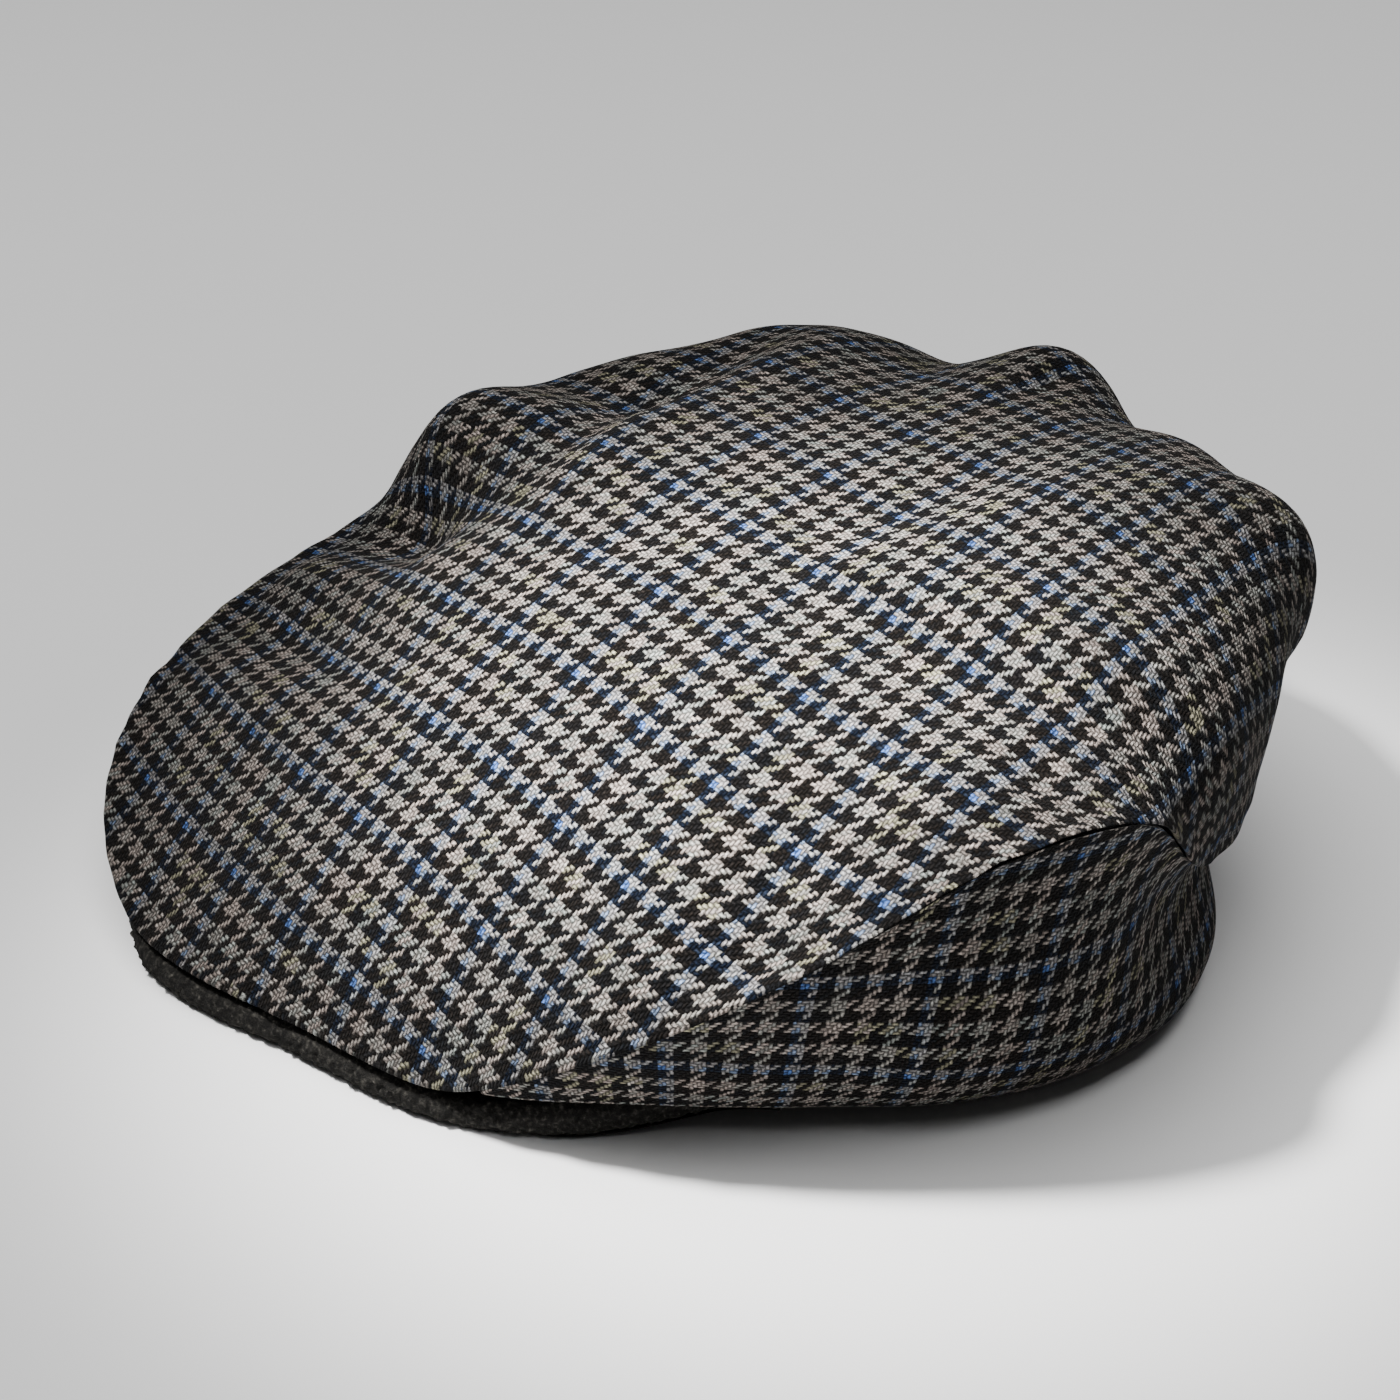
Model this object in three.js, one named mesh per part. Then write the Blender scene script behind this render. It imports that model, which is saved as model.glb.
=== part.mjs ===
// A soft tweed flat cap lying by itself on its rim and peak.
// Millimetres, +Z up, the peak towards -Y, the wearer's left towards +X.
// Four pieces: the one-piece top panel, two side panels and the stiff peak under its front.
import * as THREE from 'three';

// ---- Driving dimensions --------------------------------------------------------------------
const CLOTH = 2.2;            // cloth wall with its facing
const SEAT = 0.45;            // clearance between pieces that touch
const CROWN_HEIGHT = 85;      // top panel at its hub
const CROWN_RISE = 0.13;      // slope of the top panel at the hub, rising to the back
const CROWN_FLAT = 0.34;      // share of the reach over which the top panel leaves the hub
const HUB = { x: -4, y: 36 }; // point that every direction is measured from
const SEAM_TUCK = 1.1;        // the side panel starts this far under the folded seam
const SEAM_EASE = 10;         // over which the side panel's wall turns from the seam's direction
const PEAK_RISE = 9;          // the peak's underside climbs this much from its lip to the brow
const PEAK_RISE_DEPTH = 40;   // where the peak is this deep it has its whole climb
const PEAK_INNER_THICKNESS = 5;
const PEAK_THICKENING = 0.5;  // share of its depth over which it thickens from the lip
const PEAK_CORNER_THICKNESS = 3;
const PEAK_CORNER_TUCK = 6;   // each corner ends this far inside the rim
const PEAK_OVERHANG = 1;      // lip past the folded edge of the cloth
const PEAK_LIP_SLANT = 1;     // the lip's underside starts this far behind its top
const PEAK_LEAST_DEPTH = 2;   // left of it at each corner
const CLOTH_OVER_LIP = 0.85;  // share of the cloth's thickness that lies over the lip
const PEAK_HALF_TURN = 56;    // degrees from straight ahead to each corner of the peak
const PEAK_CORNER = 26;       // degrees over which each corner rounds away under the rim
const BROW = { halfWidth: 98, front: 90 };  // oval of the head opening, measured from the hub
const TIP_LEFT = 21;          // direction of the front tip of each side panel, in degrees
const TIP_RIGHT = -22;
const TIP_TAPER = 12;         // degrees over which the fold past each tip takes over
const SIDE_START_LEFT = 24;   // where each side panel becomes wide enough to sew
const SIDE_END_RIGHT = 330;
const BACK = 180;             // the side panels meet at the centre back
const BACK_GAP = 0.1;         // half their clearance there, in degrees
const CREASE_LEVEL = 0.66;    // where the side panel creases, as a share of its height
const BELLY_LEVEL = 0.2;      // where it bellies out over the rim

// The cap's form, a row for each direction round the hub. turn: degrees from the peak towards
// the wearer's left. The other columns are reaches from the hub and heights above the table:
// of the seam under the top panel, of the crown's loft, which pulls its curve out and up, of the
// side panel's crease and belly, and of its foot, which is the rim or, in front, the peak's edge.
const DIRECTIONS = [
  {turn:   0, seam: 125, seamZ: 10, loft: 101, loftZ:  44, crease: 125, belly: 125, foot: 125, footZ: 10},
  {turn:  20, seam: 118, seamZ: 11, loft: 104, loftZ:  51, crease: 118, belly: 118, foot: 117, footZ: 10},
  {turn:  40, seam: 118, seamZ: 33, loft: 104, loftZ:  59, crease: 112, belly: 108, foot: 105, footZ: 10},
  {turn:  60, seam: 120, seamZ: 59, loft: 100, loftZ:  68, crease: 112, belly: 109, foot: 100, footZ:  8},
  {turn:  75, seam: 124, seamZ: 79, loft: 103, loftZ:  79, crease: 108, belly: 119, foot: 101, footZ:  5},
  {turn:  90, seam: 124, seamZ: 78, loft: 109, loftZ:  92, crease: 104, belly: 125, foot: 102, footZ:  2},
  {turn: 105, seam: 114, seamZ: 50, loft: 134, loftZ: 120, crease:  94, belly: 124, foot: 102, footZ:  1},
  {turn: 120, seam: 112, seamZ: 46, loft: 130, loftZ: 125, crease:  88, belly: 121, foot: 101, footZ:  0},
  {turn: 150, seam: 106, seamZ: 48, loft: 150, loftZ: 126, crease:  88, belly: 107, foot:  98, footZ:  0},
  {turn: 180, seam: 111, seamZ: 52, loft: 154, loftZ: 116, crease:  94, belly: 114, foot: 101, footZ:  0},
  {turn: 210, seam: 120, seamZ: 56, loft: 161, loftZ: 110, crease:  94, belly: 118, foot: 100, footZ:  0},
  {turn: 240, seam: 124, seamZ: 56, loft: 152, loftZ: 108, crease:  96, belly: 118, foot:  96, footZ:  0},
  {turn: 270, seam: 132, seamZ: 50, loft: 141, loftZ:  92, crease: 108, belly: 112, foot:  94, footZ:  2},
  {turn: 300, seam: 150, seamZ: 34, loft: 118, loftZ:  55, crease: 138, belly: 122, foot: 110, footZ:  7},
  {turn: 320, seam: 154, seamZ: 22, loft: 111, loftZ:  41, crease: 152, belly: 144, foot: 138, footZ: 10},
  {turn: 340, seam: 145, seamZ: 10, loft: 104, loftZ:  39, crease: 145, belly: 145, foot: 145, footZ: 10},
];

// Folds and swellings of the top panel: centre, direction of the crease in degrees, half length
// and half width, and the height it adds (a valley is negative).
const FOLDS = [
  { name: 'temple dimple',      x: -112, y:   0, turn: 290, length: 30, width: 15, height: -12 },
  { name: 'front valley',       x:  -96, y: -33, turn: 272, length: 40, width: 11, height: -4 },
  { name: 'side valley',        x: -104, y:  56, turn: 290, length: 26, width: 12, height: -7 },
  { name: 'rear side valley',   x:  -88, y:  84, turn:  10, length: 34, width: 11, height: -5 },
  { name: 'rear side ridge',    x:  -74, y:  66, turn:   8, length: 34, width:  9, height: 2 },
  { name: 'right back notch',   x:  -62, y: 138, turn: 205, length: 30, width: 13, height: -4 },
  { name: 'right back corner',  x:  -36, y: 152, turn: 195, length: 22, width: 16, height: 7 },
  { name: 'centre back notch',  x:   -6, y: 150, turn: 182, length: 24, width: 13, height: -4 },
  { name: 'left back corner',   x:   62, y: 134, turn: 145, length: 22, width: 14, height: 7 },
  { name: 'rear side swelling', x:  -96, y: 112, turn: 231, length: 26, width: 18, height: 5 },
  { name: 'side swelling',      x: -128, y:  36, turn: 268, length: 30, width: 22, height: 6 },
  { name: 'left seam pucker',   x:   84, y: -34, turn:  46, length: 22, width: 12, height: -3 },
  { name: 'left seam swelling', x:   97, y:  10, turn:  75, length: 22, width: 14, height: 2 },
];
const FOLD_FADE = 0.1;        // folds die out over this share of the panel, before its seam

// Steps of the meshes
const TURNS = 90;             // round the top panel
const CROWN_RINGS = 20;       // from the hub to the seam
const SIDE_RINGS = 8;         // from the seam to the foot
const PEAK_RINGS = 5;         // from the lip to the brow
const NORMAL_STEP = 0.01;     // of t, for the slope of a surface

// ---- Interpolation --------------------------------------------------------------------------
const smooth = THREE.MathUtils.smoothstep;
const radians = THREE.MathUtils.degToRad;

// A column of DIRECTIONS as a smooth closed curve over the turn.
function along(column, turn) {
  const rows = DIRECTIONS.length;
  const at = THREE.MathUtils.euclideanModulo(turn, 360);
  const from = DIRECTIONS.findLastIndex((row) => row.turn <= at);
  const row = (step) => {
    const index = from + step;
    const wrap = Math.floor(index / rows);
    const found = DIRECTIONS[index - wrap * rows];
    return { turn: found.turn + wrap * 360, value: found[column] };
  };
  const [before, start, end, after] = [row(-1), row(0), row(1), row(2)];
  const span = end.turn - start.turn;
  const u = (at - start.turn) / span;
  const startSlope = (end.value - before.value) / (end.turn - before.turn) * span;
  const endSlope = (after.value - start.value) / (after.turn - start.turn) * span;
  return (2 * u ** 3 - 3 * u ** 2 + 1) * start.value + (u ** 3 - 2 * u ** 2 + u) * startSlope
    + (3 * u ** 2 - 2 * u ** 3) * end.value + (u ** 3 - u ** 2) * endSlope;
}

function bezier(t, a, b, c, d) {
  const s = 1 - t;
  return s ** 3 * a + 3 * s * s * t * b + 3 * s * t * t * c + t ** 3 * d;
}

function place(turn, reach, height) {
  const angle = radians(turn);
  return new THREE.Vector3(HUB.x + reach * Math.sin(angle), HUB.y - reach * Math.cos(angle), height);
}

const footHeight = (turn) => Math.max(0, along('footZ', turn));
const seamHeight = (turn) => Math.max(footHeight(turn), along('seamZ', turn));

// ---- Surfaces -------------------------------------------------------------------------------
// Top panel before its folds: t runs from the hub, 0, to the seam, 1.
function smoothCrown(turn, t) {
  const seam = along('seam', turn);
  const flat = CROWN_FLAT * seam;
  const flatZ = CROWN_HEIGHT - CROWN_RISE * Math.cos(radians(turn)) * flat;
  const reach = bezier(t, 0, flat, along('loft', turn), seam);
  const height = bezier(t, CROWN_HEIGHT, flatZ, along('loftZ', turn), seamHeight(turn));
  return place(turn, reach, height);
}

// Side panel: t runs from the seam, 0, to the foot, 1.
function smoothSide(turn, t) {
  const seamZ = seamHeight(turn);
  const footZ = footHeight(turn);
  const level = (share) => footZ + (seamZ - footZ) * share;
  const reaches = ['seam', 'crease', 'belly', 'foot'].map((column) => along(column, turn));
  const reach = bezier(t, ...reaches);
  return place(turn, reach, bezier(t, seamZ, level(CREASE_LEVEL), level(BELLY_LEVEL), footZ));
}

// Outward normal of a surface by small steps along it, kept inside its range of t.
function normalOf(surface, turn, t) {
  const inward = surface(turn, Math.max(0, t - NORMAL_STEP));
  const outward = surface(turn, Math.min(1, t + NORMAL_STEP));
  const sideways = surface(turn + 1, t).sub(surface(turn - 1, t));
  return outward.sub(inward).cross(sideways).normalize();
}

function foldHeight(point) {
  return FOLDS.reduce((sum, fold) => {
    const angle = radians(fold.turn);
    const dx = point.x - fold.x;
    const dy = point.y - fold.y;
    const lengthwise = (dx * Math.sin(angle) - dy * Math.cos(angle)) / fold.length;
    const across = (dx * Math.cos(angle) + dy * Math.sin(angle)) / fold.width;
    return sum + fold.height * Math.exp(-(lengthwise ** 2) - across ** 2);
  }, 0);
}

// How far a direction lies past the tip of its side panel, eased from 0 to 1.
function pastTip(turn) {
  const signed = THREE.MathUtils.euclideanModulo(turn + 180, 360) - 180;
  const tip = signed > 0 ? TIP_LEFT : -TIP_RIGHT;
  return smooth(Math.abs(signed), tip, tip + TIP_TAPER);
}

// Both panels share one direction of thickness along their seam, so that their edges lie parallel.
function seamNormal(turn) {
  const crown = normalOf(smoothCrown, turn, 1);
  const side = normalOf(smoothSide, turn, 0);
  return crown.addScaledVector(side, pastTip(turn)).normalize();
}

// Outer and inner points of a wall.
function crownWall(turn, t) {
  const hub = t === 0;
  const normal = hub ? new THREE.Vector3(0, 0, 1) : normalOf(smoothCrown, turn, t);
  const outer = smoothCrown(hub ? 0 : turn, t);
  const fade = smooth(1 - t, 0, FOLD_FADE);
  outer.addScaledVector(normal, foldHeight(outer) * fade);
  const through = t === 1 ? seamNormal(turn) : normal;
  return { outer, inner: outer.clone().addScaledVector(through, -CLOTH) };
}

function sideWall(turn, t) {
  const outer = smoothSide(turn, t);
  const fromSeam = t * smoothSide(turn, 0).distanceTo(smoothSide(turn, 1));
  const ownNormal = smooth(fromSeam, 0, SEAM_EASE);
  const normal = seamNormal(turn).lerp(normalOf(smoothSide, turn, t), ownNormal).normalize();
  if (t === 1) normal.copy(place(turn, 1, 0)).sub(place(turn, 0, 0));
  const down = smoothSide(turn, 0.5).sub(outer).normalize();
  if (t === 0) outer.addScaledVector(down, SEAM_TUCK);
  return { outer, inner: outer.clone().addScaledVector(normal, -CLOTH) };
}

// ---- Meshes ---------------------------------------------------------------------------------
function meshOf(name, points, faces, material) {
  const geometry = new THREE.BufferGeometry();
  geometry.setAttribute('position', new THREE.Float32BufferAttribute(points.flatMap((p) => p.toArray()), 3));
  geometry.setIndex(faces.flat());
  geometry.computeVertexNormals();
  const mesh = new THREE.Mesh(geometry, material);
  mesh.name = name;
  return mesh;
}

const quad = (a, b, c, d) => [a, b, c, a, c, d];

// The top panel: rings of outer points round the hub, the same rings inside, and the seam's edge.
function buildCrown(material) {
  const points = [crownWall(0, 0).outer, crownWall(0, 0).inner];
  const walls = [];
  for (let ring = 1; ring <= CROWN_RINGS; ring += 1) {
    for (let k = 0; k < TURNS; k += 1) walls.push(crownWall(k * 360 / TURNS, ring / CROWN_RINGS));
  }
  points.push(...walls.map((wall) => wall.outer), ...walls.map((wall) => wall.inner));
  const outer = (ring, k) => 2 + (ring - 1) * TURNS + k % TURNS;
  const inner = (ring, k) => outer(ring, k) + walls.length;
  const faces = [];
  for (let k = 0; k < TURNS; k += 1) {
    faces.push([0, outer(1, k), outer(1, k + 1)], [1, inner(1, k + 1), inner(1, k)]);
    for (let ring = 1; ring < CROWN_RINGS; ring += 1) {
      faces.push(quad(outer(ring, k), outer(ring + 1, k), outer(ring + 1, k + 1), outer(ring, k + 1)));
      faces.push(quad(inner(ring, k), inner(ring, k + 1), inner(ring + 1, k + 1), inner(ring + 1, k)));
    }
    const rim = CROWN_RINGS;
    faces.push(quad(outer(rim, k), inner(rim, k), inner(rim, k + 1), outer(rim, k + 1)));
  }
  return meshOf('crown_top', points, faces, material);
}

// A closed solid from closed sections of equal length: each section is joined to the next and
// the first and last are capped by strips between their two sides.
function skinSections(name, sections, material) {
  const size = sections[0].length;
  const at = (section, k) => section * size + k % size;
  const faces = [];
  for (let section = 0; section < sections.length - 1; section += 1) {
    for (let k = 0; k < size; k += 1) {
      faces.push(quad(at(section, k), at(section, k + 1), at(section + 1, k + 1), at(section + 1, k)));
    }
  }
  const last = sections.length - 1;
  for (let k = 0; k < size / 2 - 1; k += 1) {
    const far = size - 1 - k;
    faces.push(quad(at(0, k), at(0, far), at(0, far - 1), at(0, k + 1)));
    faces.push(quad(at(last, k), at(last, k + 1), at(last, far - 1), at(last, far)));
  }
  return meshOf(name, sections.flat(), faces, material);
}

// Directions from one turn to another, in the same steps as the top panel's.
function turnsBetween(from, to) {
  const count = Math.round((to - from) * TURNS / 360);
  return Array.from({ length: count + 1 }, (_, k) => from + (to - from) * k / count);
}

function buildSide(name, from, to, material) {
  const sections = turnsBetween(from, to).map((turn) => {
    const walls = Array.from({ length: SIDE_RINGS + 1 }, (_, ring) => sideWall(turn, ring / SIDE_RINGS));
    return [...walls.map((wall) => wall.outer), ...walls.map((wall) => wall.inner).reverse()];
  });
  return skinSections(name, sections, material);
}

// The peak: a crescent between its lip, which follows the folded edge of the cloth, and the brow.
function buildPeak(material) {
  const sections = turnsBetween(-PEAK_HALF_TURN, PEAK_HALF_TURN).map((turn) => {
    const angle = radians(turn);
    const brow = 1 / Math.hypot(Math.sin(angle) / BROW.halfWidth, Math.cos(angle) / BROW.front);
    const corner = smooth(Math.abs(turn), PEAK_HALF_TURN - PEAK_CORNER, PEAK_HALF_TURN);
    const foot = along('foot', turn);
    const cornerLip = Math.max(brow + PEAK_LEAST_DEPTH, foot - PEAK_CORNER_TUCK);
    const lip = THREE.MathUtils.lerp(foot + PEAK_OVERHANG, cornerLip, corner);
    const clothUnder = SEAT + CLOTH * CLOTH_OVER_LIP * (1 - pastTip(turn));
    const lipTop = footHeight(turn) - clothUnder;
    const rise = PEAK_RISE * smooth(lip - brow, 0, PEAK_RISE_DEPTH);
    const top = [];
    const bottom = [];
    for (let ring = 0; ring <= PEAK_RINGS; ring += 1) {
      const inward = ring / PEAK_RINGS;
      const reach = THREE.MathUtils.lerp(lip, brow, inward);
      const thickened = smooth(inward, 0, PEAK_THICKENING);
      const upper = rise * inward + THREE.MathUtils.lerp(lipTop, PEAK_INNER_THICKNESS, thickened);
      const lower = THREE.MathUtils.lerp(rise * inward, lipTop - PEAK_CORNER_THICKNESS, corner);
      top.push(place(turn, reach, upper));
      bottom.push(place(turn, ring === 0 ? reach - PEAK_LIP_SLANT : reach, lower));
    }
    return [...top, ...bottom.reverse()];
  });
  return skinSections('peak', sections.map((section) => section.reverse()), material);
}

// ---- Materials and assembly -----------------------------------------------------------------
const tweed = (color) => new THREE.MeshStandardMaterial({ color, roughness: 0.95, metalness: 0 });

const cap = new THREE.Group();
cap.add(
  buildCrown(tweed(0x8d8883)),
  buildSide('side_left', SIDE_START_LEFT, BACK - BACK_GAP, tweed(0x67635f)),
  buildSide('side_right', BACK + BACK_GAP, SIDE_END_RIGHT, tweed(0x6f6b66)),
  buildPeak(tweed(0x2b2a29)),
);

// The origin stands on the table under the middle of the cap.
const box = new THREE.Box3().setFromObject(cap);
const middle = box.getCenter(new THREE.Vector3());
cap.position.set(-middle.x, -middle.y, -box.min.z);
cap.updateMatrixWorld(true);

export default cap;
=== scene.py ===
"""A soft tweed flat cap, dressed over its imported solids.

The cap lies by itself on its rim and the lip of its peak. Its parts are a one-piece top panel
that runs out over a short stiff peak, two side panels that meet at the centre back, and the
peak itself. The form is in millimetres. The meshes made from it, the depths of the finishes and
the studio are in metres. +Z is up, the peak points to -Y and the wearer's left is +X.
"""

import logging
import math
from dataclasses import dataclass
from enum import Enum
from functools import lru_cache
from typing import Callable

import bmesh
import bpy
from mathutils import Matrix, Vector, noise


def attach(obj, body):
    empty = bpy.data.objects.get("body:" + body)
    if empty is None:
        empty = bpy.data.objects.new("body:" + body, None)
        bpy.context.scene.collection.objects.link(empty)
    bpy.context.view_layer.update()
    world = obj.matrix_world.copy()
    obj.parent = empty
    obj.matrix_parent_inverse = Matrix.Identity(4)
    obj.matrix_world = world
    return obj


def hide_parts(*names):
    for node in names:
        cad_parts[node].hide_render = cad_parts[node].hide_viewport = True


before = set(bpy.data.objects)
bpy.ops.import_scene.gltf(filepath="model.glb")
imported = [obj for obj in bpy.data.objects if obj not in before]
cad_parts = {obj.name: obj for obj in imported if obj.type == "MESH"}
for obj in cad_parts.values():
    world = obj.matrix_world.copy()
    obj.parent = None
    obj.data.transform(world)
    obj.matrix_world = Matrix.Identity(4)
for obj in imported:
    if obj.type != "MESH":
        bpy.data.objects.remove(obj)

log = logging.getLogger("flat_cap")

MILLIMETRE = 0.001
CLOTH_MAP = "cloth"
Material = bpy.types.Material


# ---- Form ----


class Line(Enum):
    """A line round the cap whose place is tabled for each direction."""

    SEAM = "seam"
    SEAM_Z = "seam_z"
    LOFT = "loft"
    LOFT_Z = "loft_z"
    CREASE = "crease"
    BELLY = "belly"
    FOOT = "foot"
    FOOT_Z = "foot_z"


@dataclass(frozen=True)
class Direction:
    """Where each line lies in one direction round the hub: reaches from it and heights."""

    turn: float
    seam: float
    seam_z: float
    loft: float
    loft_z: float
    crease: float
    belly: float
    foot: float
    foot_z: float


@dataclass(frozen=True)
class Fold:
    """A fold or swelling of the cloth: its centre, its lie, its size and the height it adds."""

    name: str
    x: float
    y: float
    turn: float
    length: float
    width: float
    height: float

    def at(self, point: Vector) -> float:
        """Return the height that the fold adds at a point, in millimetres.

        Args:
            point: A point of the form.

        Returns:
            The height.
        """
        angle = math.radians(self.turn)
        dx, dy = point.x - self.x, point.y - self.y
        lengthwise = (dx * math.sin(angle) - dy * math.cos(angle)) / self.length
        across = (dx * math.cos(angle) + dy * math.sin(angle)) / self.width
        return self.height * math.exp(-(lengthwise**2) - across**2)


DIRECTIONS = (
    #         turn seam  z loft  z crease belly foot  z
    Direction(0, 125, 10, 101, 44, 125, 125, 125, 10),
    Direction(20, 118, 11, 104, 51, 118, 118, 117, 10),
    Direction(40, 118, 33, 104, 59, 112, 108, 105, 10),
    Direction(60, 120, 59, 100, 68, 112, 109, 100, 8),
    Direction(75, 124, 79, 103, 79, 108, 119, 101, 5),
    Direction(90, 124, 78, 109, 92, 104, 125, 102, 2),
    Direction(105, 114, 50, 134, 120, 94, 124, 102, 1),
    Direction(120, 112, 46, 130, 125, 88, 121, 101, 0),
    Direction(150, 106, 48, 150, 126, 88, 107, 98, 0),
    Direction(180, 111, 52, 154, 116, 94, 114, 101, 0),
    Direction(210, 120, 56, 161, 110, 94, 118, 100, 0),
    Direction(240, 124, 56, 152, 108, 96, 118, 96, 0),
    Direction(270, 132, 50, 141, 92, 108, 112, 94, 2),
    Direction(300, 150, 34, 118, 55, 138, 122, 110, 7),
    Direction(320, 154, 22, 111, 41, 152, 144, 138, 10),
    Direction(340, 145, 10, 104, 39, 145, 145, 145, 10),
)

FOLDS = (
    #                            x    y turn length width height
    Fold("temple dimple", -112, 0, 290, 30, 15, -12),
    Fold("front valley", -96, -33, 272, 40, 11, -4),
    Fold("side valley", -104, 56, 290, 26, 12, -7),
    Fold("rear side valley", -88, 84, 10, 34, 11, -5),
    Fold("rear side ridge", -74, 66, 8, 34, 9, 2),
    Fold("right back notch", -62, 138, 205, 30, 13, -4),
    Fold("right back corner", -36, 152, 195, 22, 16, 7),
    Fold("centre back notch", -6, 150, 182, 24, 13, -4),
    Fold("left back corner", 62, 134, 145, 22, 14, 7),
    Fold("rear side swelling", -96, 112, 231, 26, 18, 5),
    Fold("side swelling", -128, 36, 268, 30, 22, 6),
    Fold("left seam pucker", 84, -34, 46, 22, 12, -3),
    Fold("left seam swelling", 97, 10, 75, 22, 14, 2),
)

# Fine creases of the top panel, too shallow for its solid.
CREASES = (
    #                         x    y turn length width height
    Fold("temple crease", -110, 0, 65, 26, 8, -3.6),
    Fold("temple swelling", -126, -16, 60, 16, 9, 2),
    Fold("temple bulge", -118, 23, 180, 14, 10, 3.4),
    Fold("rear side crease", -87, 44, 205, 28, 9, -3),
    Fold("rear side roll", -72, 40, 182, 26, 10, 1.6),
    Fold("front crease", -86, -41, 92, 34, 6, -1.6),
    Fold("front roll", -84, -56, 88, 30, 8, 1.2),
    Fold("back pinch", -24, 134, 190, 13, 5, -2.4),
    Fold("left pinch", 106, 22, 82, 13, 5, -1.6),
    Fold("left roll", 84, 52, 118, 24, 10, 1.4),
    Fold("crown roll", 30, 84, 160, 34, 14, 1.2),
    Fold("crown hollow", 8, 62, 170, 34, 12, -1.2),
)


def ease(value: float, start: float, end: float) -> float:
    """Return 0 before start, 1 past end and a smooth step between.

    Args:
        value: Where to read the step.
        start: Where it leaves 0.
        end: Where it reaches 1.

    Returns:
        The eased share, from 0 to 1.
    """
    share = min(1.0, max(0.0, (value - start) / (end - start)))
    return share * share * (3 - 2 * share)


def bezier(t: float, a: float, b: float, c: float, d: float) -> float:
    """Return the point t along the cubic curve with these four controls."""
    s = 1 - t
    return s**3 * a + 3 * s * s * t * b + 3 * s * t * t * c + t**3 * d


@dataclass(frozen=True)
class CapForm:
    """The cap's outer surfaces, measured from a hub under the top panel."""

    hub_x: float = -4
    hub_y: float = 36
    shift_x: float = 10.14
    shift_y: float = -30.372
    cloth: float = 2.2
    crown_height: float = 85
    crown_rise: float = 0.13
    crown_flat: float = 0.34
    crease_level: float = 0.66
    belly_level: float = 0.2
    tip_left: float = 21
    tip_right: float = -22
    tip_taper: float = 12
    seam_ease: float = 10
    fold_fade: float = 0.1
    normal_step: float = 0.01

    @lru_cache(maxsize=None)
    def along(self, line: Line, turn: float) -> float:
        """Return a tabled line's value in any direction, as a smooth closed curve.

        Args:
            line: The line to read.
            turn: The direction in degrees from the peak towards the wearer's left.

        Returns:
            The line's reach or height.
        """
        rows = len(DIRECTIONS)
        at = turn % 360
        first = max(k for k, row in enumerate(DIRECTIONS) if row.turn <= at)

        def row(step: int) -> tuple[float, float]:
            """Return the turn and the value of the row some steps on from the first."""
            wrap, index = divmod(first + step, rows)
            return DIRECTIONS[index].turn + wrap * 360, getattr(DIRECTIONS[index], line.value)

        (before_turn, before), (start_turn, start), (end_turn, end), (after_turn, after) = (
            row(step) for step in (-1, 0, 1, 2)
        )
        span = end_turn - start_turn
        u = (at - start_turn) / span
        start_slope = (end - before) / (end_turn - before_turn) * span
        end_slope = (after - start) / (after_turn - start_turn) * span
        return (
            (2 * u**3 - 3 * u**2 + 1) * start
            + (u**3 - 2 * u**2 + u) * start_slope
            + (3 * u**2 - 2 * u**3) * end
            + (u**3 - u**2) * end_slope
        )

    def foot_height(self, turn: float) -> float:
        """Return the height of the rim or, in front, of the folded edge over the peak."""
        return max(0.0, self.along(Line.FOOT_Z, turn))

    def seam_height(self, turn: float) -> float:
        """Return the height of the seam under the top panel."""
        return max(self.foot_height(turn), self.along(Line.SEAM_Z, turn))

    def place(self, turn: float, reach: float, height: float) -> Vector:
        """Return the point at a reach and height in one direction from the hub."""
        angle = math.radians(turn)
        return Vector((self.hub_x + reach * math.sin(angle), self.hub_y - reach * math.cos(angle), height))

    def crown_profile(self, turn: float, t: float) -> tuple[float, float]:
        """Return the top panel's reach and height, t from the hub, 0, to the seam, 1.

        Args:
            turn: The direction.
            t: The place along the profile.

        Returns:
            The reach from the hub and the height.
        """
        seam = self.along(Line.SEAM, turn)
        flat = self.crown_flat * seam
        flat_z = self.crown_height - self.crown_rise * math.cos(math.radians(turn)) * flat
        reach = bezier(t, 0, flat, self.along(Line.LOFT, turn), seam)
        loft_z = self.along(Line.LOFT_Z, turn)
        return reach, bezier(t, self.crown_height, flat_z, loft_z, self.seam_height(turn))

    def smooth_crown(self, turn: float, t: float) -> Vector:
        """Return a point of the top panel before its folds."""
        return self.place(turn, *self.crown_profile(turn, t))

    def side_profile(self, turn: float, t: float) -> tuple[float, float]:
        """Return a side panel's reach and height, t from the seam, 0, to the foot, 1.

        Args:
            turn: The direction.
            t: The place along the profile.

        Returns:
            The reach from the hub and the height.
        """
        seam_z, foot_z = self.seam_height(turn), self.foot_height(turn)
        reaches = (self.along(line, turn) for line in (Line.SEAM, Line.CREASE, Line.BELLY, Line.FOOT))
        levels = (1, self.crease_level, self.belly_level, 0)
        heights = (foot_z + (seam_z - foot_z) * level for level in levels)
        return bezier(t, *reaches), bezier(t, *heights)

    def smooth_side(self, turn: float, t: float) -> Vector:
        """Return a point of a side panel."""
        return self.place(turn, *self.side_profile(turn, t))

    def normal(self, surface: Callable[[float, float], Vector], turn: float, t: float) -> Vector:
        """Return a surface's outward normal from small steps along it.

        Args:
            surface: smooth_crown or smooth_side.
            turn: The direction.
            t: The place along the direction's profile.

        Returns:
            A unit vector.
        """
        inward = surface(turn, max(0.0, t - self.normal_step))
        outward = surface(turn, min(1.0, t + self.normal_step))
        sideways = surface(turn + 1, t) - surface(turn - 1, t)
        return (outward - inward).cross(sideways).normalized()

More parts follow.
